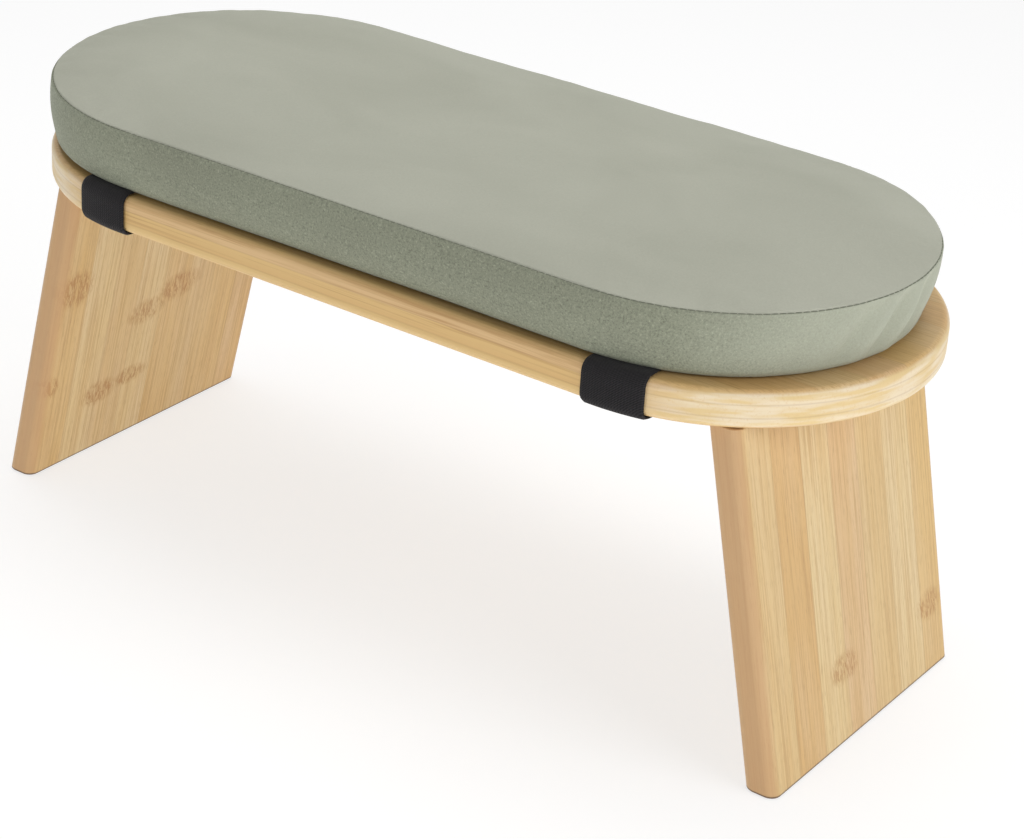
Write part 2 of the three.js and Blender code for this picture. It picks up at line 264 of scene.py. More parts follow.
# Layers of the grain, from the lowest: the noise's scales along, across and through the cane, its
# detail, roughness and distortion, the band of it in which the colour comes in, and how far
GRAIN_LAYERS = {
    "cloud": ((9, 60, 60), (2, 0.5, 0.0), (0.42, 0.7), 0.28, CREAM),
    "flame": ((7, 150, 120), (3, 0.6, 0.4), (0.5, 0.7), 0.4, HONEY),
    "fibre": ((16, 1000, 1000), (3, 0.65, 0.0), (0.46, 0.64), 0.5, STREAK),
    "pores": ((170, 2200, 2200), (1, 0.5, 0.0), (0.58, 0.72), 0.32, GLUE_BROWN),
}
GLUE_LINE_DRIFT = 0.5 * MM
STRIP_OFFSET = 0.37
STRIP_BLEND = 0.012
FOOT_LINE_LOW, FOOT_LINE_HIGH = 0.8 * MM, 1.3 * MM
EDGE_TINT_START, EDGE_TINT_END = 5 * MM, 2 * MM


def grain_noise(axes, scales, detail=2.0, roughness=0.5, distortion=0.0):
    """Noise stretched by a scale for each axis: along the grain, across it and through it."""
    vector = node("CombineXYZ", {
        key: times(axis, scale) for key, axis, scale in zip("XYZ", axes, scales)
    }).outputs["Vector"]
    return noise_value(vector, 1.0, detail, roughness, distortion)


def node_marks(place, axes, marks):
    """Ragged marks where a node of the cane crossed a strip, from their places and reaches."""
    ragged = grain_noise(axes, (190, 900, 150), 3, 0.65, 0.9)
    total = None
    for center, size in marks:
        offset = vector_math("SUBTRACT", place, center)[0]
        scaled = vector_math("MULTIPLY", offset, tuple(1 / (MM * length) for length in size))[0]
        reach = vector_math("LENGTH", scaled)["Value"]
        core = remap(reach, 1.0, 0.6)
        total = core if total is None else calc("MAXIMUM", total, core)
    strokes = remap(ragged, 0.46, 0.56)
    return times(total, plus(0.15, times(strokes, 0.85)))


def strip_tones(share, strips):
    """One tone for each strip, with a narrow blend from one to the next."""
    count = len(strips)
    blend = STRIP_BLEND / count
    stops = [(0.0, strips[0])]
    for i in range(1, count):
        stops += [(i / count - blend, strips[i - 1]), (i / count + blend, strips[i])]
    return color_ramp(share, stops)


def bamboo(name, grain, through, strips, span, marks, seed):
    """Bamboo glued up from strips side by side in Y. grain and through are the directions of the
    cane and of the plate's thickness, and each strip has a tone and a stretch of grain of its own."""
    material, shader, place = new_material(name, {
        "Coat Weight": 0.1, "Coat Roughness": 0.35, "Specular IOR Level": 0.35,
    })
    y = split_axes(place)[1]
    drift = noise_value(place, scale=9, detail=1)
    across = plus(y, remap(drift, 0, 1, -GLUE_LINE_DRIFT, GLUE_LINE_DRIFT))
    share = remap(across, *span)
    in_strips = times(share, len(strips))
    along = plus(dot(place, grain), times(calc("FLOOR", in_strips), STRIP_OFFSET))
    axes = (along, plus(y, seed), dot(place, through))

    tone = strip_tones(share, strips)
    layers = {}
    for layer, (scales, character, band, strength, color) in GRAIN_LAYERS.items():
        layers[layer] = grain_noise(axes, scales, *character)
        tone = mix_color(remap(layers[layer], *band, 0, strength), tone, color)
    from_middle = off_level(calc("FRACT", in_strips), 0.5)
    tone = mix_color(remap(from_middle, 0.482, 0.498, 0, 0.3), tone, GLUE_BROWN)
    mark = node_marks(place, axes, marks)
    tone = mix_color(times(mark, 0.75), tone, MARK_BROWN)

    height = plus(layers["fibre"], times(layers["pores"], 0.5))
    height = plus(height, times(mark, -0.8))
    feed(shader, {
        "Normal": bump(height, 0.2, 0.25 * MM),
        "Roughness": remap(layers["cloud"], 0.3, 0.7, 0.42, 0.54),
    })
    return material, shader, place, tone


def leg_bamboo(side, sign, strips, marks, seed):
    """A leg's bamboo, pinker on its rounded edges and darker in a thin line at the cut on the floor.
    """
    grain = (-sign * math.sin(SPLAY), 0, math.cos(SPLAY))
    through = (sign * math.cos(SPLAY), 0, math.sin(SPLAY))
    span = (-LEG_HALF_DEPTH, LEG_HALF_DEPTH)
    material, shader, place, tone = bamboo(
        f"bamboo_{side}_leg", grain, through, strips, span, marks, seed)
    _, y, z = split_axes(place)
    edge = remap(calc("ABSOLUTE", y),
                 LEG_HALF_DEPTH - EDGE_TINT_START, LEG_HALF_DEPTH - EDGE_TINT_END, 0, 0.75)
    tone = mix_color(edge, tone, EDGE_PINK)
    foot = remap(z, FOOT_LINE_LOW, FOOT_LINE_HIGH, 0.85, 0)
    feed(shader, {"Base Color": mix_color(foot, tone, FOOT_LINE)})
    return material


def end_grain(place, axes):
    """Pale, speckled end grain of the board's rounded ends."""
    cloud = remap(grain_noise(axes, (40, 40, 330)), 0.4, 0.6)
    speckle = noise_value(place, scale=900, roughness=0.7)
    cream = mix_color(cloud, CREAM, PALE)
    return mix_color(remap(speckle, 0.55, 0.7, 0, 0.4), cream, PINKISH)


def board_bamboo():
    """The board's edge shows its three plies: long streaks along the sides, end grain at the ends."""
    span = (BOARD_LOW.y, BOARD_HIGH.y)
    material, shader, place, tone = bamboo(
        "bamboo_board", (1, 0, 0), (0, 0, 1), BOARD_STRIPS, span, BOARD_MARKS, BOARD_SEED)
    axes = split_axes(place)
    normal_x, _, normal_z = split_axes(place.node.outputs["Normal"])
    height = remap(axes[2], UNDERSIDE, BOARD_TOP)
    streaks = grain_noise(axes, (10, 60, 620), 3, 0.7, 0.5)
    upper = remap(height, 0.3, 0.6, 0.35, 1)
    streak_share = times(remap(streaks, 0.48, 0.66, 0, 0.75), upper)
    ply = mix_color(streak_share, color_ramp(height, PLY_TONES), STREAK)
    end = remap(calc("ABSOLUTE", normal_x), 0.12, 0.45)
    edge = mix_color(times(end, 0.95), ply, end_grain(place, axes))
    for level in PLY_LEVELS:
        line = remap(off_level(height, level), 0.008, 0.03, 0.2, 0)
        edge = mix_color(line, edge, GLUE_BROWN)
    flat = mix_color(0.2, tone, AMBER)
    upright = remap(calc("ABSOLUTE", normal_z), 0.55, 0.85, 1, 0)
    feed(shader, {"Base Color": mix_color(upright, flat, edge)})
    return material


# Cloth and steel materials

VELVET_TOP = (srgb(163, 164, 150), srgb(173, 174, 160))
# The band's velvet is a darker copy of the top's: painted shade of the side band
VELVET_BAND_PAINTED_SHADE = (srgb(129, 132, 115), srgb(137, 141, 123))
# Pale tone of the velvet at its right end: painted light where the lamp falls on that end
VELVET_PAINTED_LIGHT = srgb(176, 179, 163)
VELVET_SHEEN = (0.84, 0.87, 0.78, 1)
# Span of x over which the painted light at the velvet's right end comes in
PAINTED_LIGHT_START, PAINTED_LIGHT_END = 155 * MM, 213 * MM
ELASTIC = (srgb(15, 14, 15), srgb(40, 38, 40))
ELASTIC_FUZZ = srgb(66, 62, 64)
TWILL_PITCH = 1.1 * MM
RIB_PITCH = 1.3 * MM
LINING = ("lining_cloth", srgb(98, 101, 90), srgb(122, 125, 112), 0.92, 0.2, 1400, 0.3, 0.2 * MM)
# The seam thread's dark tones are partly its own and partly painted shade of the seam's groove
THREAD_AND_SEAM_SHADE = ("seam_thread_and_shade", srgb(92, 96, 82), srgb(116, 120, 104), 0.7, 0.3, 2400, 0.4, 0.1 * MM)
HINGE_ZINC, SCREW_ZINC = srgb(196, 193, 188), srgb(186, 184, 178)
NAP_DARK, NAP_PALE, ZINC_DULL = 0.58, 1.45, 0.72


def velvet(name, colors, nap_strength, painted_light_share):
    """Velvet with brushed patches and a fine speckle of the nap. Towards the right end a smooth pale
    tone is painted on: painted light where the lamp falls on that end."""
    material, shader, place = new_material(name, {
        "Roughness": 0.92, "Specular IOR Level": 0.12, "Sheen Weight": 0.22,
        "Sheen Roughness": 0.5, "Sheen Tint": VELVET_SHEEN,
    })
    brushed = noise_value(stretched(place, (11, 17, 17)), detail=3, distortion=0.5)
    tone = mix_color(remap(brushed, 0.3, 0.7), *colors)
    nap = noise_value(place, scale=1150, roughness=0.8)
    dark, pale = shade(colors[0], NAP_DARK), shade(colors[1], NAP_PALE)
    tone = mix_color(remap(nap, 0.32, 0.48, nap_strength, 0), tone, dark)
    tone = mix_color(remap(nap, 0.55, 0.72, 0, nap_strength), tone, pale)
    # Painted light: the velvet turns paler towards the right end, where the lamp falls
    turned = remap(split_axes(place)[0], PAINTED_LIGHT_START, PAINTED_LIGHT_END, 0, painted_light_share)
    tone = mix_color(turned, tone, VELVET_PAINTED_LIGHT)
    ripple = noise_value(place, scale=210)
    height = plus(nap, times(ripple, 1.2))
    feed(shader, {"Base Color": tone, "Normal": bump(height, 0.3, 0.3 * MM)})
    return material


def elastic():
    """Black woven elastic: a fine diagonal twill with lengthwise rubber ribs."""
    material, shader, place = new_material("black_elastic", {
        "Roughness": 0.8, "Specular IOR Level": 0.2, "Sheen Weight": 0.05, "Sheen Roughness": 0.4,
    })
    x, y, z = split_axes(place)
    slant = calc("SUBTRACT", x, plus(y, z))
    twill = calc("SINE", times(slant, FULL_TURN / TWILL_PITCH))
    rib = calc("SINE", times(x, FULL_TURN / RIB_PITCH))
    weave = plus(twill, times(rib, 0.4))
    tone = mix_color(remap(weave, -1.2, 1.2), *ELASTIC)
    fuzz = noise_value(place, scale=1600)
    tone = mix_color(remap(fuzz, 0.56, 0.75, 0, 0.22), tone, ELASTIC_FUZZ)
    feed(shader, {"Base Color": tone, "Normal": bump(weave, 0.5, 0.25 * MM)})
    return material


def zinc_steel(name, tint, roughness):
    """Zinc-plated steel with fine rolling marks and a few dull patches."""
    material, shader, place = new_material(name, {"Metallic": 1.0})
    rolled = noise_value(stretched(place, (300, 60, 900)), detail=3, roughness=0.6)
    patch = noise_value(place, scale=90)
    dull = remap(patch, 0.4, 0.7, 0, 0.35)
    feed(shader, {
        "Base Color": mix_color(dull, tint, shade(tint, ZINC_DULL)),
        "Roughness": remap(rolled, 0.3, 0.7, roughness - 0.07, roughness + 0.1),
        "Normal": bump(rolled, 0.08, 0.1 * MM),
    })
    return material


def plain_cloth(name, dark, light, roughness, shine, fineness, strength, depth):
    """Cloth or thread of two close tones, mixed by a fine noise that also roughens it."""
    material, shader, place = new_material(name, {
        "Roughness": roughness, "Specular IOR Level": shine,
    })
    fine = noise_value(place, scale=fineness, detail=1)
    feed(shader, {
        "Base Color": mix_color(fine, dark, light), "Normal": bump(fine, strength, depth),
    })
    return material


# Mesh helpers

WELD = 1e-7


def new_object(name, data):
    made = bpy.data.objects.new(name, data)
    bpy.context.scene.collection.objects.link(made)
    return made


def mesh_object(name, vertices, faces):
    mesh = bpy.data.meshes.new(name)
    mesh.from_pydata([tuple(v) for v in vertices], [], faces)
    mesh.update()
    return new_object(name, mesh)


def solid(name, vertices, faces):
    """A closed mesh with its faces pointing out."""
    made = mesh_object(name, vertices, faces)
    work = bmesh.new()
    work.from_mesh(made.data)
    bmesh.ops.recalc_face_normals(work, faces=work.faces)
    work.to_mesh(made.data)
    work.free()
    return made


def piece(name, vertices, faces, material, body, replaced, crease_degrees=None):
    """A mesh that stands for CAD nodes, rides on a body and takes its finish from a slot."""
    made = mesh_object(name, vertices, faces)
    made.data.materials.append(material)
    finish_mesh(made, crease_degrees)
    attach(made, body, replaced)
    return made


def attach(made, body, replaced):
    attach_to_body(made, body)
    if replaced:
        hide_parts(*replaced)


def finish_mesh(made, crease_degrees=None):
    """Faces pointing out and smooth, with edges sharper than the crease angle kept sharp."""
    work = bmesh.new()
    work.from_mesh(made.data)
    bmesh.ops.remove_doubles(work, verts=work.verts, dist=WELD)
    bmesh.ops.recalc_face_normals(work, faces=work.faces)
    for face in work.faces:
        face.smooth = True
    if crease_degrees is not None:
        limit = math.radians(crease_degrees)
        for edge in work.edges:
            edge.smooth = edge.calc_face_angle(0.0) < limit
    work.to_mesh(made.data)
    work.free()


def weight_normals(made):
    """Large flat faces keep their own normal next to small rounded ones."""
    modifier = made.modifiers.new("weighted_normals", "WEIGHTED_NORMAL")
    modifier.keep_sharp = True
    modifier.weight = 100


def apply_modifiers(made):
    bpy.context.view_layer.update()
    graph = bpy.context.evaluated_depsgraph_get()
    mesh = bpy.data.meshes.new_from_object(made.evaluated_get(graph))
    made.modifiers.clear()
    old = made.data
    made.data = mesh
    bpy.data.meshes.remove(old)


def combine(target, joined, cut):
    """Joins some solids to the target, then cuts others out of it."""
    for tool in joined + cut:
        modifier = target.modifiers.new("tool", "BOOLEAN")
        modifier.operation = "UNION" if tool in joined else "DIFFERENCE"
        modifier.object = tool
    apply_modifiers(target)
    for tool in joined + cut:
        bpy.data.objects.remove(tool)


def finish_solid(made, material, crease_degrees, matrix):
    made.data.materials.clear()
    made.data.materials.append(material)
    finish_mesh(made, crease_degrees)
    made.data.transform(matrix)


def loft_faces(ring_count, size, caps=True):
    """Faces between closed rings of equal size, and a cap at each end."""
    faces = []
    for r in range(ring_count - 1):
        low, high = r * size, (r + 1) * size
        for i in range(size):
            j = (i + 1) % size
            faces.append((low + i, low + j, high + j, high + i))
    if caps:
        faces.append(tuple(reversed(range(size))))
        faces.append(tuple(range((ring_count - 1) * size, ring_count * size)))
    return faces


def spindle_faces(ring_count, size):
    """Faces of a solid with a point at each end and closed rings between them."""
    last = 1 + (ring_count - 1) * size
    faces = []
    for i in range(size):
        j = (i + 1) % size
        faces.append((0, 1 + j, 1 + i))
        for r in range(ring_count - 1):
            low, high = 1 + r * size, 1 + (r + 1) * size
            faces.append((low + i, low + j, high + j, high + i))
        faces.append((last + i, last + j, last + size))
    return faces


def circle(steps):
    """Turn, cosine and sine of each step round a circle."""
    angles = [FULL_TURN * i / steps for i in range(steps)]
    return [(i / steps, math.cos(a), math.sin(a)) for i, a in enumerate(angles)]


def revolve_y(profile, steps):
    """Closed solid turned about Y from (radius, y) pairs, whose ends lie on the axis."""
    points = [Vector((0, profile[0][1], 0))]
    for radius, y in profile[1:-1]:
        points += [Vector((radius * c, y, radius * s)) for _, c, s in circle(steps)]
    points.append(Vector((0, profile[-1][1], 0)))
    return points, spindle_faces(len(profile) - 2, steps)


def box_mesh(low, high):
    points = [
        Vector((x, y, z))
        for x in (low[0], high[0]) for y in (low[1], high[1]) for z in (low[2], high[2])
    ]
    faces = [(0, 1, 3, 2), (4, 6, 7, 5), (0, 4, 5, 1), (2, 3, 7, 6), (0, 2, 6, 4), (1, 5, 7, 3)]
    return points, faces


def stadium(length, depth, inset, z, end_steps, side_steps, shift_x=0.0):
    """Anticlockwise stadium outline, with points along its straight sides too."""
    half = (length - depth) / 2
    radius = depth / 2 - inset
    points = []
    for side in (1, -1):
        start = -side * QUARTER_TURN
        for i in range(end_steps + 1):
            angle = start + math.pi * i / end_steps
            x = shift_x + side * half + radius * math.cos(angle)
            points.append(Vector((x, radius * math.sin(angle), z)))
        for i in range(1, side_steps):
            x = shift_x + side * half * (1 - 2 * i / side_steps)
            points.append(Vector((x, side * radius, z)))
    return points


def past_straight(x, middle, half):
    """How far x lies past the straight part of a stadium, on either side."""
    return max(0.0, abs(x - middle) - half)


def quarter(radius, steps):
    """Inset and rise along a quarter round, from its foot to its side."""
    angles = [QUARTER_TURN * i / steps for i in range(steps + 1)]
    return [(radius * (1 - math.sin(a)), radius * (1 - math.cos(a))) for a in angles]


# Wood

BOARD_END_STEPS = 72
BOARD_SIDE_STEPS = 12
EDGE_STEPS = 8
CORNER_STEPS = 10
LEG_ROWS = 12


def seat_board():
    rings = [(inset, UNDERSIDE + rise) for inset, rise in quarter(BOARD_BOTTOM_RADIUS, EDGE_STEPS)]
    rings += [(inset, BOARD_TOP - rise)
              for inset, rise in reversed(quarter(BOARD_TOP_RADIUS, EDGE_STEPS))]
    points = [
        stadium(BOARD_LENGTH, BOARD_DEPTH, inset, z, BOARD_END_STEPS, BOARD_SIDE_STEPS)
        for inset, z in rings
    ]
    faces = loft_faces(len(points), len(points[0]))
    weight_normals(piece("seat_board_bamboo", sum(points, []), faces, board_bamboo(),
                         "seat", ["seat_board"]))


def leg_ring(sign, z, inset):
    """Level section of a leg: a rectangle with rounded corners, drawn out by the splay."""
    stretch = 1 / math.cos(SPLAY)
    half_x = LEG_THICKNESS * stretch / 2
    middle = LEG_HIGH.x - half_x - z * math.tan(SPLAY)
    core_x = half_x - LEG_EDGE_RADIUS * stretch
    core_y = LEG_HALF_DEPTH - LEG_EDGE_RADIUS
    reach = LEG_EDGE_RADIUS - inset
    ring = []
    for corner, (side_x, side_y) in enumerate(CORNERS):
        for i in range(CORNER_STEPS + 1):
            angle = (corner + i / CORNER_STEPS) * QUARTER_TURN
            x = middle + side_x * core_x + reach * stretch * math.cos(angle)
            ring.append(Vector((sign * x, side_y * core_y + reach * math.sin(angle), z)))
    return ring


def leg(side, sign, strips, marks, seed):
    """Plate with rounded long edges, level cuts at floor and top, its plane leaning outwards."""
    heights = [(0.0, LEG_CUT_EASE), (LEG_CUT_EASE, 0.0)]
    heights += [(LEG_HIGH.z * i / LEG_ROWS, 0.0) for i in range(1, LEG_ROWS)]
    heights += [(LEG_HIGH.z - LEG_CUT_EASE, 0.0), (LEG_HIGH.z, LEG_CUT_EASE)]
    rings = [leg_ring(sign, z, inset) for z, inset in heights]
    faces = loft_faces(len(rings), len(rings[0]))
    material = leg_bamboo(side, sign, strips, marks, seed)
    weight_normals(piece(f"{side}_leg_bamboo", sum(rings, []), faces, material,
                         f"{side}_leg", [f"{side}_leg"]))


# Hinges, in the frame of a leaf: the pin along Y at the origin, the leaf along +X, its back
# towards the wood at z = KNUCKLE_RADIUS

BARREL_STEPS = 48
LEAF_ARC_STEPS = 8
PIN_DOME = 0.6 * MM
PIN_DOME_STEPS = 6
TO_WOOD = Matrix.Rotation(QUARTER_TURN, 4, "X")

# Angles in degrees past which an edge is bevelled or stays sharp
BEVEL_ANGLE = 40
LEAF_CREASE, SCREW_CREASE, PIN_CREASE = 35, 40, 50

SCREW_STEPS = 32
SCREW_HEAD_RADIUS = (SCREW_HIGH.x - SCREW_LOW.x) / 2
SCREW_LENGTH = SCREW_HIGH.z - SCREW_LOW.z
SCREW_SHANK_RADIUS = 1.75 * MM
SCREW_LAND = 0.12 * MM
SCREW_TIP = 3 * MM
SCREW_TIP_END = 0.4 * MM
SCREW_HEAD_DEPTH = SCREW_HEAD_RADIUS - SCREW_SHANK_RADIUS
SCREW_RIM = ((0.35 * MM, 0.0), (0.08 * MM, 0.1 * MM), (0.0, 0.3 * MM))
THREAD_DEPTH = 0.45 * MM
THREAD_PITCH = 1.6 * MM
THREAD_WIDTH_SHARE = 0.28
THREAD_AT_POINT = 0.3
THREAD_START = SCREW_HEAD_DEPTH + 0.8 * MM
THREAD_ROWS = 40
RECESS_LENGTH, RECESS_WIDTH, RECESS_DEPTH = 2.1 * MM, 0.42 * MM, 1.3 * MM
RECESS_LIFT = 0.5 * MM
RECESS_TAPER = 0.35
SCREW_SPIN_DEGREES = 37


def screw_places():
    """Places of a leaf's screws: across from the pin and along it, from the CAD screws."""
    boxes = [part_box(f"right_hinge_seat_screw_{index}") for index in (1, 2, 3)]
    return [(PIN_X - (low.x + high.x) / 2, -(low.y + high.y) / 2) for low, high in boxes]


def leaf_matrix(which, sign):
    turn = Matrix.Rotation(0 if sign > 0 else math.pi, 4, "Z")
    if which == "seat":
        lean = Matrix.Rotation(math.pi, 4, "Z")
    else:
        lean = Matrix.Rotation(QUARTER_TURN - SPLAY, 4, "Y")
    return turn @ Matrix.Translation((PIN_X, 0, PIN_Z)) @ lean


def leaf_plate(name):
    half = HINGE_LENGTH / 2
    center_x = LEAF_WIDTH - LEAF_CORNER
    outline = [(NOTCH, -half)]
    for center_y, start in ((LEAF_CORNER - half, -QUARTER_TURN), (half - LEAF_CORNER, 0)):
        for i in range(LEAF_ARC_STEPS + 1):
            angle = start + QUARTER_TURN * i / LEAF_ARC_STEPS
            outline.append((center_x + LEAF_CORNER * math.cos(angle),
                            center_y + LEAF_CORNER * math.sin(angle)))
    outline.append((NOTCH, half))
    points = [Vector((x, y, z)) for z in (LEAF_FACE, KNUCKLE_RADIUS) for x, y in outline]
    return solid(name, points, loft_faces(2, len(outline)))


def rod(name, radius, low, high):
    profile = [(0, low), (radius, low), (radius, high), (0, high)]
    return solid(name, *revolve_y(profile, BARREL_STEPS))


def knuckles(first):
    """Every second knuckle of the barrel, each with the tab that joins it to the plate."""
    pitch = HINGE_LENGTH / KNUCKLES
    tools = []
    for k in range(first, KNUCKLES, 2):
        low = k * pitch - HINGE_LENGTH / 2 + (KNUCKLE_GAP / 2 if k > 0 else 0)
        high = (k + 1) * pitch - HINGE_LENGTH / 2 - (KNUCKLE_GAP / 2 if k < KNUCKLES - 1 else 0)
        tab = box_mesh((0, low, LEAF_FACE), (NOTCH + NOTCH_CLEARANCE, high, KNUCKLE_RADIUS))
        tools += [rod("barrel", KNUCKLE_RADIUS, low, high), solid("tab", *tab)]
    return tools


def screw_holes():
    radius, shank = SCREW_HEAD_RADIUS + CLEARANCE, SCREW_SHANK_RADIUS + CLEARANCE
    profile = [
        (0, -CUT_OVERRUN), (radius, -CUT_OVERRUN), (radius, SCREW_LAND),
        (shank, SCREW_HEAD_DEPTH + SCREW_LAND), (shank, SCREW_LENGTH - SCREW_TIP),
        (0, SCREW_LENGTH + CLEARANCE),
    ]
    points, faces = revolve_y(profile, SCREW_STEPS)
    return [
        solid("hole", [TO_WOOD @ p + Vector((x, y, LEAF_FACE)) for p in points], faces)
        for x, y in screw_places()
    ]


def hinge_leaf(stem, first, matrix, material, body):
    plate = leaf_plate(f"{stem}_leaf_steel")
    reach = HINGE_LENGTH / 2 + CUT_OVERRUN
    bore = rod("bore", PIN_RADIUS + PIN_CLEARANCE, -reach, reach)
    combine(plate, knuckles(first), [bore, *screw_holes()])
    soften = plate.modifiers.new("soften", "BEVEL")
    soften.width = LEAF_BEVEL
    soften.segments = 2
    soften.limit_method = "ANGLE"
    soften.angle_limit = math.radians(BEVEL_ANGLE)
    apply_modifiers(plate)
    finish_solid(plate, material, LEAF_CREASE, matrix)
    attach(plate, body, [f"{stem}_leaf"])


def thread_radius(core, depth, turn):
    """Radius of the threaded shank: its core and the crest that winds round it."""
    phase = (depth / THREAD_PITCH - turn) % 1.0
    crest = max(0.0, 1 - abs(phase - 0.5) / THREAD_WIDTH_SHARE)
    return core + THREAD_DEPTH * crest * min(1.0, core / SCREW_SHANK_RADIUS + THREAD_AT_POINT)


def screw_solid(name):
    """Countersunk head, threaded shank and point, from the middle of the head's face."""
    steps = circle(SCREW_STEPS)
    profile = [(SCREW_HEAD_RADIUS - inset, depth) for inset, depth in SCREW_RIM]
    profile.append((SCREW_SHANK_RADIUS, SCREW_HEAD_DEPTH + SCREW_LAND))
    points = [Vector((0, 0, 0))]
    for radius, depth in profile:
        points += [Vector((radius * c, radius * s, depth)) for _, c, s in steps]
    thread_length = SCREW_LENGTH - SCREW_TIP_END - THREAD_START
    for i in range(THREAD_ROWS):
        depth = THREAD_START + thread_length * i / (THREAD_ROWS - 1)
        core = SCREW_SHANK_RADIUS - THREAD_DEPTH
        if depth > SCREW_LENGTH - SCREW_TIP:
            core *= max(0.1, (SCREW_LENGTH - depth) / SCREW_TIP)
        for turn, c, s in steps:
            radius = thread_radius(core, depth, turn)
            points.append(Vector((radius * c, radius * s, depth)))
    points.append(Vector((0, 0, SCREW_LENGTH)))
    return solid(name, points, spindle_faces(len(profile) + THREAD_ROWS, SCREW_STEPS))


def cross_recess():
    """Two crossed slots that narrow towards their bottom."""
    low = (-RECESS_LENGTH, -RECESS_WIDTH, -RECESS_LIFT)
    points, faces = box_mesh(low, (RECESS_LENGTH, RECESS_WIDTH, RECESS_DEPTH))
    for p in points:
        if p.z > 0:
            p.x *= RECESS_TAPER
    return [
        solid("cross", [Matrix.Rotation(turn, 4, "Z") @ p for p in points], faces)
        for turn in (0, QUARTER_TURN)
    ]


def screw(stem, x, y, matrix, material, body):
    """Countersunk wood screw with a cross recess, a helical thread and a point."""
    made = screw_solid(f"{stem}_zinc")
    combine(made, [], cross_recess())
    spin = Matrix.Rotation(math.radians(SCREW_SPIN_DEGREES) * (x + y) / MM, 4, "Z")
    place = matrix @ Matrix.Translation((x, y, LEAF_FACE)) @ spin
    finish_solid(made, material, SCREW_CREASE, place)
    attach(made, body, [stem])


def hinge_pin(side, sign, material):
    end = (PIN_HIGH.y - PIN_LOW.y) / 2
    angles = [QUARTER_TURN * i / PIN_DOME_STEPS for i in range(PIN_DOME_STEPS + 1)]
    profile = [(PIN_RADIUS * math.sin(a), PIN_DOME * (1 - math.cos(a)) - end) for a in angles]
    profile += [(r, -y) for r, y in reversed(profile)]
    points, faces = revolve_y(profile, BARREL_STEPS)
    offset = Vector((sign * PIN_X, 0, PIN_Z))
    piece(f"{side}_hinge_pin_steel", [p + offset for p in points], faces, material,
          "seat", [f"{side}_hinge_pin"], PIN_CREASE)


def hinge(side, sign, steel, screw_steel):
    for which, first, body in (("seat", 0, "seat"), ("leg", 1, f"{side}_leg")):
        matrix = leaf_matrix(which, sign)
        stem = f"{side}_hinge_{which}"
        hinge_leaf(stem, first, matrix, steel, body)
        for number, place in enumerate(screw_places(), 1):
            screw(f"{stem}_screw_{number}", *place, matrix, screw_steel, body)
    hinge_pin(side, sign, steel)


# Straps

STRAP_WIDTH = STRAP_HIGH.x - STRAP_LOW.x
STRAP_CENTER = (STRAP_HIGH.x + STRAP_LOW.x) / 2
STRAP_TUCK = 18 * MM
STRAP_SLACK_RUN = 9 * MM
STRAP_EDGE = 0.7 * MM
STRAP_EDGE_SHARE = 0.12
STRAP_COLUMNS = 20
STRAP_ARC_STEPS = 8
STRAP_TUCK_STEPS = 4
STRAP_SLACK_STEPS = 6
STRAP_UNDER_STEPS = 24
STRAP_CREASE = 60


def board_half_depth(x):
    radius = BOARD_DEPTH / 2
    past = past_straight(x, 0, BOARD_LENGTH / 2 - radius)
    return math.sqrt(radius * radius - past * past)


def strap_path(x, offset):
    """The strap's line in a section of the board at x, from its front end to its back end."""
    half = board_half_depth(x)
    side = []
    for i in range(STRAP_TUCK_STEPS):
        share = i / STRAP_TUCK_STEPS
        side.append((half - STRAP_TUCK * (1 - share) - BOARD_TOP_RADIUS * share, BOARD_TOP + offset))
    for radius, center_z, start in (
        (BOARD_TOP_RADIUS, BOARD_TOP - BOARD_TOP_RADIUS, QUARTER_TURN),
        (BOARD_BOTTOM_RADIUS, UNDERSIDE + BOARD_BOTTOM_RADIUS, 0.0),
    ):
        for i in range(STRAP_ARC_STEPS + 1):
            angle = start - QUARTER_TURN * i / STRAP_ARC_STEPS
            reach = radius + offset
            side.append((half - radius + reach * math.cos(angle), center_z + reach * math.sin(angle)))
    drop = LEAF_THICKNESS + CLEARANCE
    for i in range(1, STRAP_SLACK_STEPS + 1):
        share = i / STRAP_SLACK_STEPS
        ease = share * share * (3 - 2 * share)
        y = half - BOARD_BOTTOM_RADIUS - STRAP_SLACK_RUN * share
        side.append((y, UNDERSIDE - drop * ease - offset))
    middle, low = side[-1]
    under = [(-middle * (1 - 2 * i / STRAP_UNDER_STEPS), low) for i in range(1, STRAP_UNDER_STEPS)]
    return [(-y, z) for y, z in side] + under + side[::-1]


def elastic_strap(side, sign, material):
    """A band with rounded selvedges, each column of which follows the board at its own x."""
    outer, inner = [], []
    middle = CLEARANCE + STRAP_THICKNESS / 2
    for c in range(STRAP_COLUMNS + 1):
        across = (c / STRAP_COLUMNS - 0.5) * STRAP_WIDTH
        x = sign * STRAP_CENTER + across
        from_edge = min(1.0, (STRAP_WIDTH / 2 - abs(across)) / STRAP_EDGE)
        round_share = math.sqrt(max(0.0, 1 - (1 - from_edge) ** 2))
        half = STRAP_THICKNESS / 2 * max(STRAP_EDGE_SHARE, round_share)
        outer.append([Vector((x, y, z)) for y, z in strap_path(x, middle + half)])
        inner.append([Vector((x, y, z)) for y, z in strap_path(x, middle - half)])
    columns = outer + inner[::-1]
    size, count = len(outer[0]), len(columns)
    faces = []
    for c in range(count):
        a, b = c * size, ((c + 1) % count) * size
        faces += [(a + i, a + i + 1, b + i + 1, b + i) for i in range(size - 1)]
    for end in (0, size - 1):
        for c in range(STRAP_COLUMNS):
            mirror = count - 1 - c
            faces.append(tuple(column * size + end for column in (c, c + 1, mirror - 1, mirror)))
    piece(f"{side}_strap_elastic", sum(columns, []), faces, material,
          "seat", [f"{side}_elastic_strap"], STRAP_CREASE)


# Cushion: one closed skin of a top panel, a side band and a base, blown up by cloth simulation
# and then sewn in code

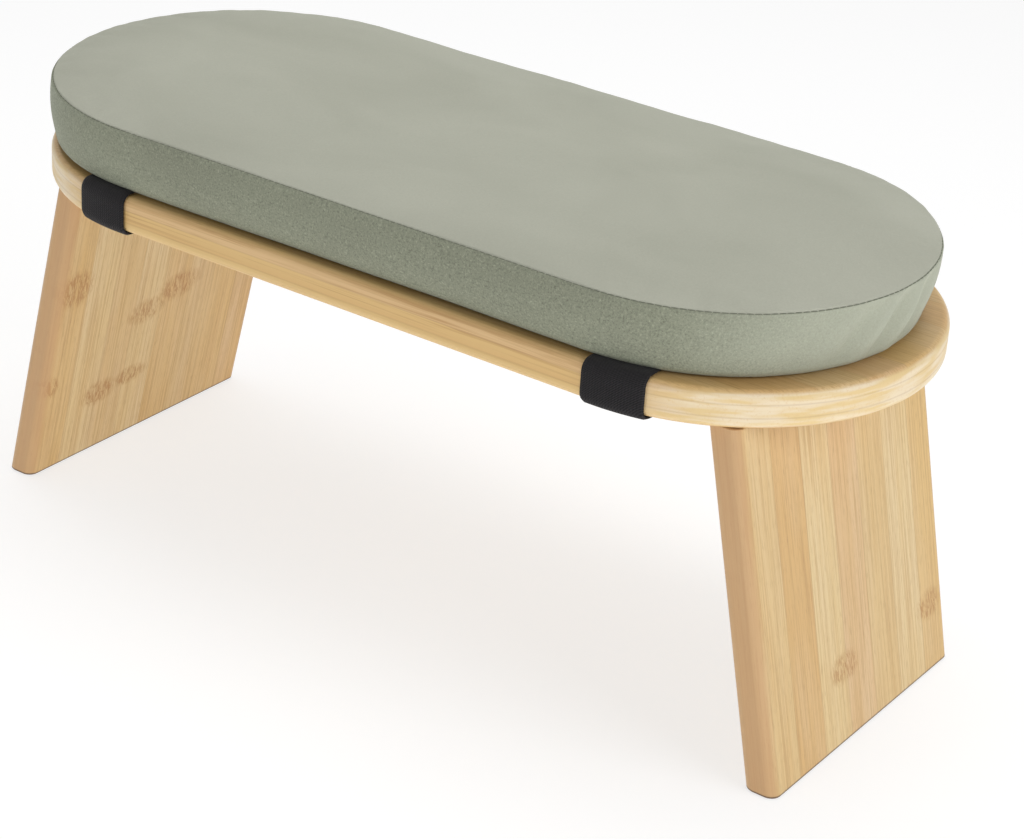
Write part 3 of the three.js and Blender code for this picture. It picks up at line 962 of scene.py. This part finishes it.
CUSHION_LENGTH = TOP_HIGH.x - TOP_LOW.x
CUSHION_DEPTH = TOP_HIGH.y - TOP_LOW.y
CUSHION_CENTER = (TOP_HIGH.x + TOP_LOW.x) / 2
CUSHION_HALF_STRAIGHT = (CUSHION_LENGTH - CUSHION_DEPTH) / 2
CUSHION_BOTTOM = BAND_LOW.z
SEAM_Z = TOP_LOW.z + 0.35 * MM
CROWN = TOP_HIGH.z - SEAM_Z
RIM_CROWN_SHARE = 0.45
RIM_ROUND = 9 * MM
DRAW_IN = 2.4 * MM
LEAN = 2 * MM
BOTTOM_RADIUS = 5.5 * MM
BOTTOM_STEPS = 6
BULGE = 1.3 * MM
CUSHION_END_STEPS = 90
CUSHION_SIDE_STEPS = 54
PANEL_GRID = 5 * MM
PANEL_MARGIN_SHARE = 0.55
QUAD_BEND, QUAD_SKEW = math.radians(20), math.radians(50)
BAND_SHARES = (0.0, 0.12, 0.25, 0.38, 0.5, 0.62, 0.74, 0.84, 0.91, 0.955, 0.98)
RIM_SHARES = (0.006, 0.014, 0.028, 0.05, 0.085)

CLOTH_SETTINGS = {
    "quality": 6, "mass": 0.2, "tension_stiffness": 25, "compression_stiffness": 25,
    "shear_stiffness": 12, "bending_stiffness": 0.8, "use_pressure": True,
    "uniform_pressure_force": 4.0, "vertex_group_mass": "pinned",
}
SWELL_CAP = 2.0 * MM
SIM_FRAMES = 20

# Angle round the end, width in degrees and depth in millimetres of each wrinkle
WRINKLES = (
    (-20.0, 3.2, 2.6), (-13.0, 2.4, -1.8), (-7.0, 2.8, 3.6), (-1.0, 2.2, -2.0), (5.0, 2.8, 3.0),
    (-34.0, 3.0, 1.2), (33.0, 3.5, 1.4),
)
WRINKLE_LEAN_DEGREES = 10.0
SEAM_DEPTH = 1.1 * MM
PUCKER = 0.3 * MM
PUCKER_ROWS = 6
# Depth of the soft dents in the top and the band, with the scale and place of their noise
DENTS = {
    "top": ((0.64 * MM, 14, (3.1, 1.7, 0.4)), (0.16 * MM, 45, (9.1, 4.2, 2.4))),
    "band": ((0.48 * MM, 22, (5.5, 0.3, 8.8)),),
}
STITCH_PITCH = 3.2 * MM
STITCH_LENGTH = 3.5 * MM
STITCH_RADIUS = 0.24 * MM
STITCH_SIDES = 6
STITCH_SHARES = ((0.15, 0.8, 0.3), (0.5, 1.0, 0.6), (0.85, 0.8, 0.3))


def cushion_ring(share, inset, z):
    """share is 0 at the foot of the band and 1 at the seam."""
    drawn = DRAW_IN * (1 - share) - BULGE * math.sin(math.pi * share)
    return stadium(CUSHION_LENGTH, CUSHION_DEPTH, inset + drawn, z, CUSHION_END_STEPS,
                   CUSHION_SIDE_STEPS, CUSHION_CENTER - LEAN * (1 - share))


def crown_height(x, y):
    """Height of the top panel above the seam: steep at the rim and nearly level in the middle."""
    reach = CUSHION_DEPTH / 2
    past = past_straight(x, CUSHION_CENTER, CUSHION_HALF_STRAIGHT)
    inset = max(0.0, reach - math.hypot(past, y))
    rim = 1 - (1 - min(1.0, inset / RIM_ROUND)) ** 2
    swelling = 1 - (1 - inset / reach) ** 3
    return CROWN * (RIM_CROWN_SHARE * rim + (1 - RIM_CROWN_SHARE) * swelling)


def cushion_rings():
    """Rings from the foot of the cushion up the band to the seam and over the rim of its top."""
    rings = [(cushion_ring(0.0, inset, CUSHION_BOTTOM + rise), "foot" if rise == 0 else "band")
             for inset, rise in quarter(BOTTOM_RADIUS, BOTTOM_STEPS)[:-1]]
    foot = CUSHION_BOTTOM + BOTTOM_RADIUS
    for share in BAND_SHARES:
        rings.append((cushion_ring(share, 0.0, foot + (SEAM_Z - foot) * share), "band"))
    rings.append((cushion_ring(1.0, 0.0, SEAM_Z), "seam"))
    for share in RIM_SHARES:
        ring = cushion_ring(1.0, CUSHION_DEPTH / 2 * share, SEAM_Z)
        for point in ring:
            point.z += crown_height(point.x, point.y)
        rings.append((ring, "top"))
    return rings


def panel(ring, height):
    """Points and faces that fill a level ring, on a square grid; the ring's points come first."""
    xs, ys, _ = zip(*ring)
    length, depth = max(xs) - min(xs), max(ys) - min(ys)
    middle = (max(xs) + min(xs)) / 2
    columns, rows = int(length / PANEL_GRID), int(depth / PANEL_GRID)
    points = [p.to_2d() for p in ring]
    for i in range(-columns // 2, columns // 2 + 1):
        for j in range(-rows // 2, rows // 2 + 1):
            x, y = middle + i * PANEL_GRID, j * PANEL_GRID
            past = past_straight(x, middle, (length - depth) / 2)
            if math.hypot(past, y) < depth / 2 - PANEL_MARGIN_SHARE * PANEL_GRID:
                points.append(Vector((x, y)))
    ring_face = [list(range(len(ring)))]
    flat, _, faces, *_ = geometry.delaunay_2d_cdt(points, [], ring_face, 1, WELD)
    return [Vector((p.x, p.y, height(p.x, p.y))) for p in flat], faces


def cushion_skin(rings, materials):
    """The skin as a mesh, and the kind of each of its points."""
    size = len(rings[0][0])
    vertices = [p for ring, _ in rings for p in ring]
    kinds = [kind for _, kind in rings for _ in range(size)]
    faces = loft_faces(len(rings), size, caps=False)
    slots = [1 if kind in ("seam", "top") else 0 for _, kind in rings[:-1] for _ in range(size)]
    for kind, ring, first, height, slot in (
        ("top", rings[-1][0], (len(rings) - 1) * size, lambda x, y: SEAM_Z + crown_height(x, y), 1),
        ("base", rings[0][0], 0, lambda x, y: CUSHION_BOTTOM, 2),
    ):
        points, fill = panel(ring, height)
        offset = len(vertices) - size
        vertices += points[size:]
        kinds += [kind] * (len(points) - size)
        faces += [[first + i if i < size else offset + i for i in face] for face in fill]
        slots += [slot] * len(fill)
    made = mesh_object("cushion_cover", vertices, faces)
    for material in materials:
        made.data.materials.append(material)
    for polygon, slot in zip(made.data.polygons, slots):
        polygon.material_index = slot
    square_up(made.data)
    return made, kinds


def square_up(mesh):
    """Joins pairs of triangles into quads, with all faces pointing out."""
    work = bmesh.new()
    work.from_mesh(mesh)
    bmesh.ops.recalc_face_normals(work, faces=work.faces)
    triangles = [f for f in work.faces if len(f.verts) == 3]
    bmesh.ops.join_triangles(
        work, faces=triangles, cmp_materials=True,
        angle_face_threshold=QUAD_BEND, angle_shape_threshold=QUAD_SKEW)
    work.to_mesh(mesh)
    work.free()


def cloth(made):
    """Cloth under pressure, with no gravity, held at the pinned points."""
    modifier = made.modifiers.new("cloth", "CLOTH")
    for key, value in CLOTH_SETTINGS.items():
        setattr(modifier.settings, key, value)
    modifier.settings.effector_weights.gravity = 0.0
    modifier.collision_settings.use_collision = False
    return modifier


def swell(made, pinned):
    """Runs the cloth and keeps its shape, with a cap on how far each point moves."""
    rest = [v.co.copy() for v in made.data.vertices]
    group = made.vertex_groups.new(name="pinned")
    group.add(pinned, 1.0, "REPLACE")
    modifier = cloth(made)
    scene = bpy.context.scene
    for number in range(1, SIM_FRAMES + 1):
        scene.frame_set(number)
    shaped = made.evaluated_get(bpy.context.evaluated_depsgraph_get())
    moved = [v.co.copy() for v in shaped.to_mesh().vertices]
    shaped.to_mesh_clear()
    made.modifiers.remove(modifier)
    scene.frame_set(1)
    for vertex, start, end in zip(made.data.vertices, rest, moved):
        step = end - start
        if step.length > SWELL_CAP:
            step = step.normalized() * SWELL_CAP
        vertex.co = start + step
    made.vertex_groups.clear()


def end_wrinkle(co):
    """Slanting wrinkles of the band at the right end, where the cover is drawn in."""
    angle = math.degrees(math.atan2(co.y, co.x - CUSHION_CENTER - CUSHION_HALF_STRAIGHT))
    height = (co.z - CUSHION_BOTTOM) / (SEAM_Z - CUSHION_BOTTOM)
    fade = math.sin(math.pi * min(1.0, max(0.0, 1.02 - height)))
    total = 0.0
    for center, width, depth in WRINKLES:
        lean = center + WRINKLE_LEAN_DEGREES * (height - 0.5)
        total -= depth * MM * math.exp(-((angle - lean) / width) ** 2) * fade
    return total


def sewn_shift(kind, co, row, column, seam_row):
    """How far sewing and stuffing move a point of the skin outwards."""
    shift = 0.0
    rows_off = abs(row - seam_row)
    if rows_off == 0:
        shift -= SEAM_DEPTH
    elif rows_off <= PUCKER_ROWS and row <= seam_row + len(RIM_SHARES):
        shift += PUCKER * noise.noise(Vector((column * 0.8, 7.3, row * 0.25))) / rows_off
    for depth, scale, seed in DENTS.get(kind, ()):
        shift += depth * noise.noise(co * scale + Vector(seed))
    return shift + end_wrinkle(co) if kind == "band" else shift


def sew(made, kinds, size, seam_row):
    """Draws the seam in, puckers the cloth beside it, and lays soft dents and end wrinkles."""
    made.data.update()
    normals = [v.normal.copy() for v in made.data.vertices]
    for index, vertex in enumerate(made.data.vertices):
        shift = sewn_shift(kinds[index], vertex.co, *divmod(index, size), seam_row)
        vertex.co = vertex.co + normals[index] * shift


def seam_line(mesh, first, size):
    """Points of the seam and their directions outwards and upwards."""
    line = []
    for vertex in mesh.vertices[first:first + size]:
        place = vertex.co.copy()
        along = place.x - CUSHION_CENTER
        spine = max(-CUSHION_HALF_STRAIGHT, min(CUSHION_HALF_STRAIGHT, along))
        out = Vector((along - spine, place.y, place.z - SEAM_Z)).normalized()
        line.append((place, (out + Vector((0, 0, 0.5))).normalized()))
    return line


def stitch(start, end, out):
    """A short thread pulled into the seam: thin at both ends and proud in the middle."""
    along = (end - start).normalized()
    side = along.cross(out).normalized()
    rise = side.cross(along)
    points = [start - 0.5 * STITCH_RADIUS * rise]
    for share, width, lift in STITCH_SHARES:
        middle = start.lerp(end, share) + rise * STITCH_RADIUS * lift
        for _, c, s in circle(STITCH_SIDES):
            points.append(middle + STITCH_RADIUS * width * (c * side + s * rise))
    points.append(end - 0.5 * STITCH_RADIUS * rise)
    return points, spindle_faces(len(STITCH_SHARES), STITCH_SIDES)


# The stitches' dark thread is partly real thread and partly painted shade in the seam's groove
def seam_thread_and_shade(line, material):
    """Stitches along a closed line of seam points and their outward directions."""
    points, faces = [], []
    closed = line + line[:1]
    lengths = [0.0]
    for (here, _), (ahead, _) in zip(line, closed[1:]):
        lengths.append(lengths[-1] + (ahead - here).length)
    count = int(lengths[-1] / STITCH_PITCH)
    pitch = lengths[-1] / count

    def at(distance):
        distance %= lengths[-1]
        i = bisect.bisect_right(lengths, distance) - 1
        share = (distance - lengths[i]) / (lengths[i + 1] - lengths[i])
        here, ahead = closed[i], closed[i + 1]
        return here[0].lerp(ahead[0], share), here[1].lerp(ahead[1], share)

    for k in range(count):
        start, out = at(k * pitch)
        end, _ = at(k * pitch + STITCH_LENGTH)
        offset = len(points)
        lift = out * STITCH_RADIUS
        new_points, new_faces = stitch(start + lift, end + lift, out)
        points += new_points
        faces += [tuple(offset + i for i in face) for face in new_faces]
    piece("seam_thread_and_shade", points, faces, material, "seat", [])


def cushion(top_material, painted_shade_band_material, base_material):
    rings = cushion_rings()
    size = len(rings[0][0])
    made, kinds = cushion_skin(rings, (painted_shade_band_material, top_material, base_material))
    pinned = [i for i, kind in enumerate(kinds) if kind in ("seam", "base", "foot")]
    swell(made, pinned)
    seam_row = next(i for i, (_, kind) in enumerate(rings) if kind == "seam")
    sew(made, kinds, size, seam_row)
    seam_thread_and_shade(seam_line(made.data, seam_row * size, size), plain_cloth(*THREAD_AND_SEAM_SHADE))
    finish_mesh(made)
    fine = made.modifiers.new("fine", "SUBSURF")
    fine.levels = 1
    fine.render_levels = 1
    attach(made, "seat", [
        "cushion_foam", "cushion_cover_top", "cushion_cover_band", "cushion_cover_base"])


# Stage

CAMERA_PLACE = (0.64247, -0.91971, 0.63516)
CAMERA_RIGHT = (0.79811, 0.60063, 0.04758)
CAMERA_DOWN = (0.30425, -0.33361, -0.89227)
IMAGE_WIDTH, IMAGE_HEIGHT = 1024, 839
FOCAL_PIXELS = 2758.75
CENTER_X, CENTER_Y = 436.8, 418.5
SENSOR = 36.0
FLOOR_HALF = 6.0
FLOOR_DROP = 0.3 * MM
WHITE = (1, 1, 1, 1)
AMBIENT, SKY_SEEN = 0.22, 1.0
AIM = (0, 0, 0.12)

# Grey and glow of the floor, as it lights the bench and as it is seen
FLOOR_TONES = ((0.8, 0.65), (0.34, 0.72))

# Name, place, target, side of the square and watts of each light
LIGHTS = (
    ("key", (1.5, -0.05, 0.9), AIM, 1.0, 10),
    ("top", (-0.2, 0.2, 1.6), AIM, 1.2, 15.5),
    ("fill", (-0.2, -1.7, 0.55), AIM, 1.4, 3.8),
    ("low", (0.85, -1.1, 0.1), (-0.2, 0, 0.04), 0.35, 3),
)


def camera():
    data = bpy.data.cameras.new("camera")
    data.sensor_fit = "HORIZONTAL"
    data.sensor_width = SENSOR
    data.lens = FOCAL_PIXELS * SENSOR / IMAGE_WIDTH
    data.shift_x = (IMAGE_WIDTH / 2 - CENTER_X) / IMAGE_WIDTH
    data.shift_y = (CENTER_Y - IMAGE_HEIGHT / 2) / IMAGE_WIDTH
    data.clip_start = 0.01
    made = new_object("camera", data)
    right = Vector(CAMERA_RIGHT).normalized()
    back = right.cross(-Vector(CAMERA_DOWN)).normalized()
    matrix = Matrix((right, back.cross(right), back)).transposed().to_4x4()
    matrix.translation = CAMERA_PLACE
    made.matrix_world = matrix
    bpy.context.scene.camera = made


def area_light(name, place, target, size, watts):
    data = bpy.data.lights.new(name, "AREA")
    data.shape = "SQUARE"
    data.size = size
    data.energy = watts
    made = new_object(name, data)
    made.location = place
    toward = Vector(target) - Vector(place)
    made.rotation_euler = toward.to_track_quat("-Z", "Y").to_euler()


def paper_shader(tree, gray, strength):
    """Matt white paper lit from below as well."""
    diffuse = node("BsdfDiffuse", {"Color": (gray, gray, gray, 1)}, tree)
    glow = node("Emission", {"Color": WHITE, "Strength": strength}, tree)
    return node("AddShader", {0: diffuse.outputs[0], 1: glow.outputs[0]}).outputs[0]


def backdrop(owner, output, make_shaders):
    """Gives a floor or a world one shader for its light and another where it is seen."""
    owner.use_nodes = True
    tree = owner.node_tree
    tree.nodes.clear()
    ray = node("LightPath", {}, tree).outputs
    seen = calc("MAXIMUM", ray["Is Camera Ray"], ray["Is Glossy Ray"])
    unseen_shader, seen_shader = make_shaders(tree)
    both = node("MixShader", {0: seen, 1: unseen_shader, 2: seen_shader}).outputs[0]
    node(output, {"Surface": both})


def floor_shaders(tree):
    return [paper_shader(tree, *tones) for tones in FLOOR_TONES]


def sky_shaders(tree):
    return [node("Background", {"Color": WHITE, "Strength": strength}, tree).outputs[0]
            for strength in (AMBIENT, SKY_SEEN)]


def floor():
    corners = [(x * FLOOR_HALF, y * FLOOR_HALF, 0) for x, y in CORNERS]
    made = mesh_object("floor", corners, [(0, 1, 2, 3)])
    made.location.z = -FLOOR_DROP
    material = bpy.data.materials.new("floor_white")
    backdrop(material, "OutputMaterial", floor_shaders)
    made.data.materials.append(material)


def studio():
    floor()
    world = bpy.data.worlds.new("studio")
    bpy.context.scene.world = world
    backdrop(world, "OutputWorld", sky_shaders)
    for light in LIGHTS:
        area_light(*light)
    camera()
    bpy.context.scene.view_settings.view_transform = "Standard"


# Assembly

SIDES = (("right", 1), ("left", -1))


def build():
    seat_board()
    leg("right", 1, RIGHT_STRIPS, RIGHT_MARKS, RIGHT_SEED)
    leg("left", -1, LEFT_STRIPS, LEFT_MARKS, LEFT_SEED)
    steel = zinc_steel("zinc_steel", HINGE_ZINC, 0.32)
    screw_steel = zinc_steel("screw_zinc", SCREW_ZINC, 0.26)
    for side, sign in SIDES:
        hinge(side, sign, steel, screw_steel)
    black = elastic()
    for side, sign in SIDES:
        elastic_strap(side, sign, black)
    top = velvet("velvet_top", VELVET_TOP, 0.1, 0.0)
    # The band's darker velvet is painted shade, and its paler right end is painted light
    band = velvet("velvet_band_painted_shade", VELVET_BAND_PAINTED_SHADE, 0.75, 0.7)
    cushion(top, band, plain_cloth(*LINING))
    studio()


build()
